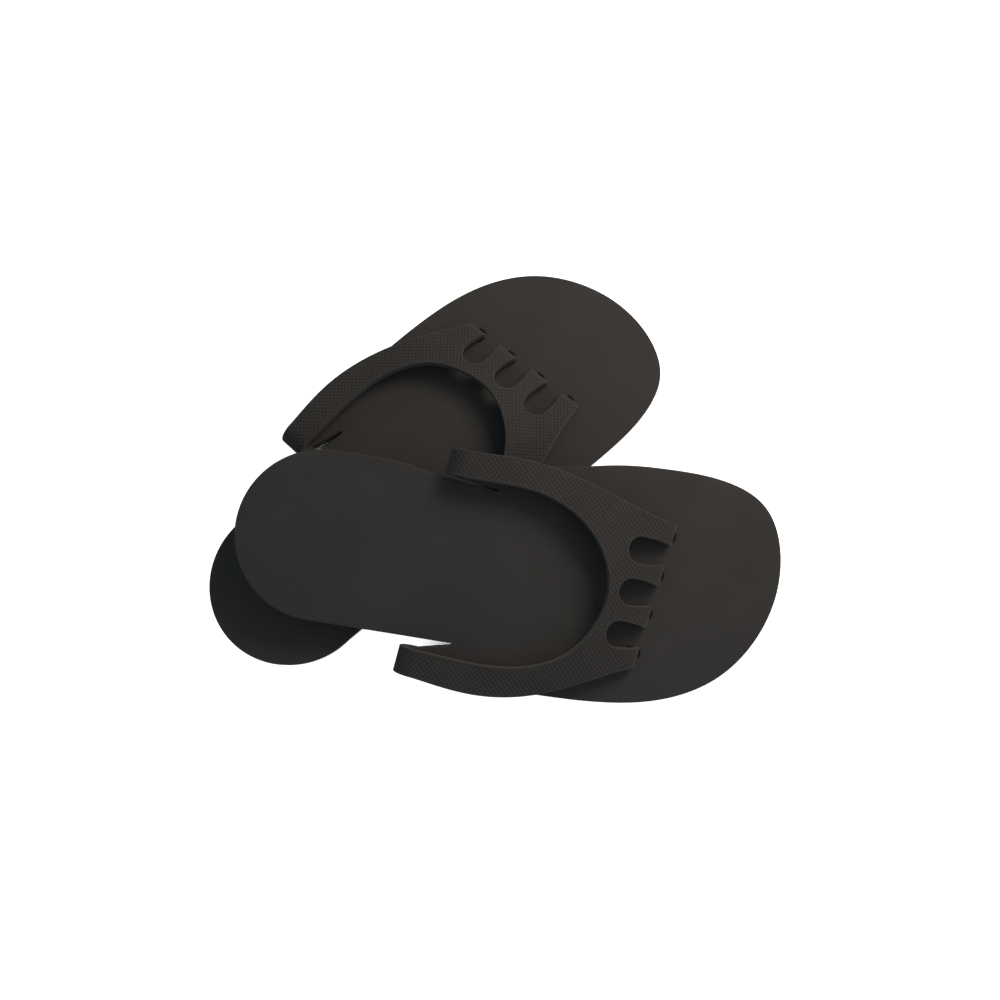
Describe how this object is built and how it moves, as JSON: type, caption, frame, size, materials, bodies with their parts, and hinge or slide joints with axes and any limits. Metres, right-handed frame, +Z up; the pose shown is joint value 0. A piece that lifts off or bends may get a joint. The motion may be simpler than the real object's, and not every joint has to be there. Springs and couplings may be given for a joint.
{
  "type": "pair of disposable flip flops",
  "caption": "Pair of thin foam pedicure slippers, right one lying across the left, each with an arched strap ending in prongs that keep the toes apart.",
  "frame": {"origin": "middle of the pair's bounding box in plan, on the floor under the left slipper's sole", "axes": "+X to the right slipper's toes, along the pair's longest side; +Y towards the left slipper's toes; +Z up from the floor"},
  "size_m": [0.2884, 0.2264, 0.0442],
  "materials": {
    "sole_foam": "matt smooth closed-cell foam",
    "strap_foam": "matt foam embossed with a fine square grid"
  },
  "bodies": {
    "left_sole": {"left_sole": "sole_foam", "left_inner_fold": "strap_foam", "left_outer_fold": "strap_foam"},
    "left_strap": {"left_strap": "strap_foam"},
    "right_sole": {"right_sole": "sole_foam", "right_inner_fold": "strap_foam", "right_outer_fold": "strap_foam"},
    "right_strap": {"right_strap": "strap_foam"}
  },
  "joints": [
    {"name": "right_lift", "type": "slide", "parent": "left_sole", "child": "right_sole", "axis": [0, 0, 1], "range_m": [0, 0.4]},
    {"name": "right_strap_fold", "type": "hinge", "parent": "right_sole", "child": "right_strap", "pos_m": [-0.02542, -0.04654, 0.028], "axis": [-0.254, -0.9582, -0.1314], "range_deg": [0, 155], "deforming": ["right_inner_fold", "right_outer_fold"]},
    {"name": "left_strap_fold", "type": "hinge", "parent": "left_sole", "child": "left_strap", "pos_m": [-0.06245, -0.0106, 0.009], "axis": [0.7457, -0.6663, 0], "range_deg": [0, 155], "deforming": ["left_inner_fold", "left_outer_fold"]}
  ],
  "couplings": [
    {"joint": "left_strap_fold", "follows": "right_lift", "rad_per_m": 6.7625}
  ]
}
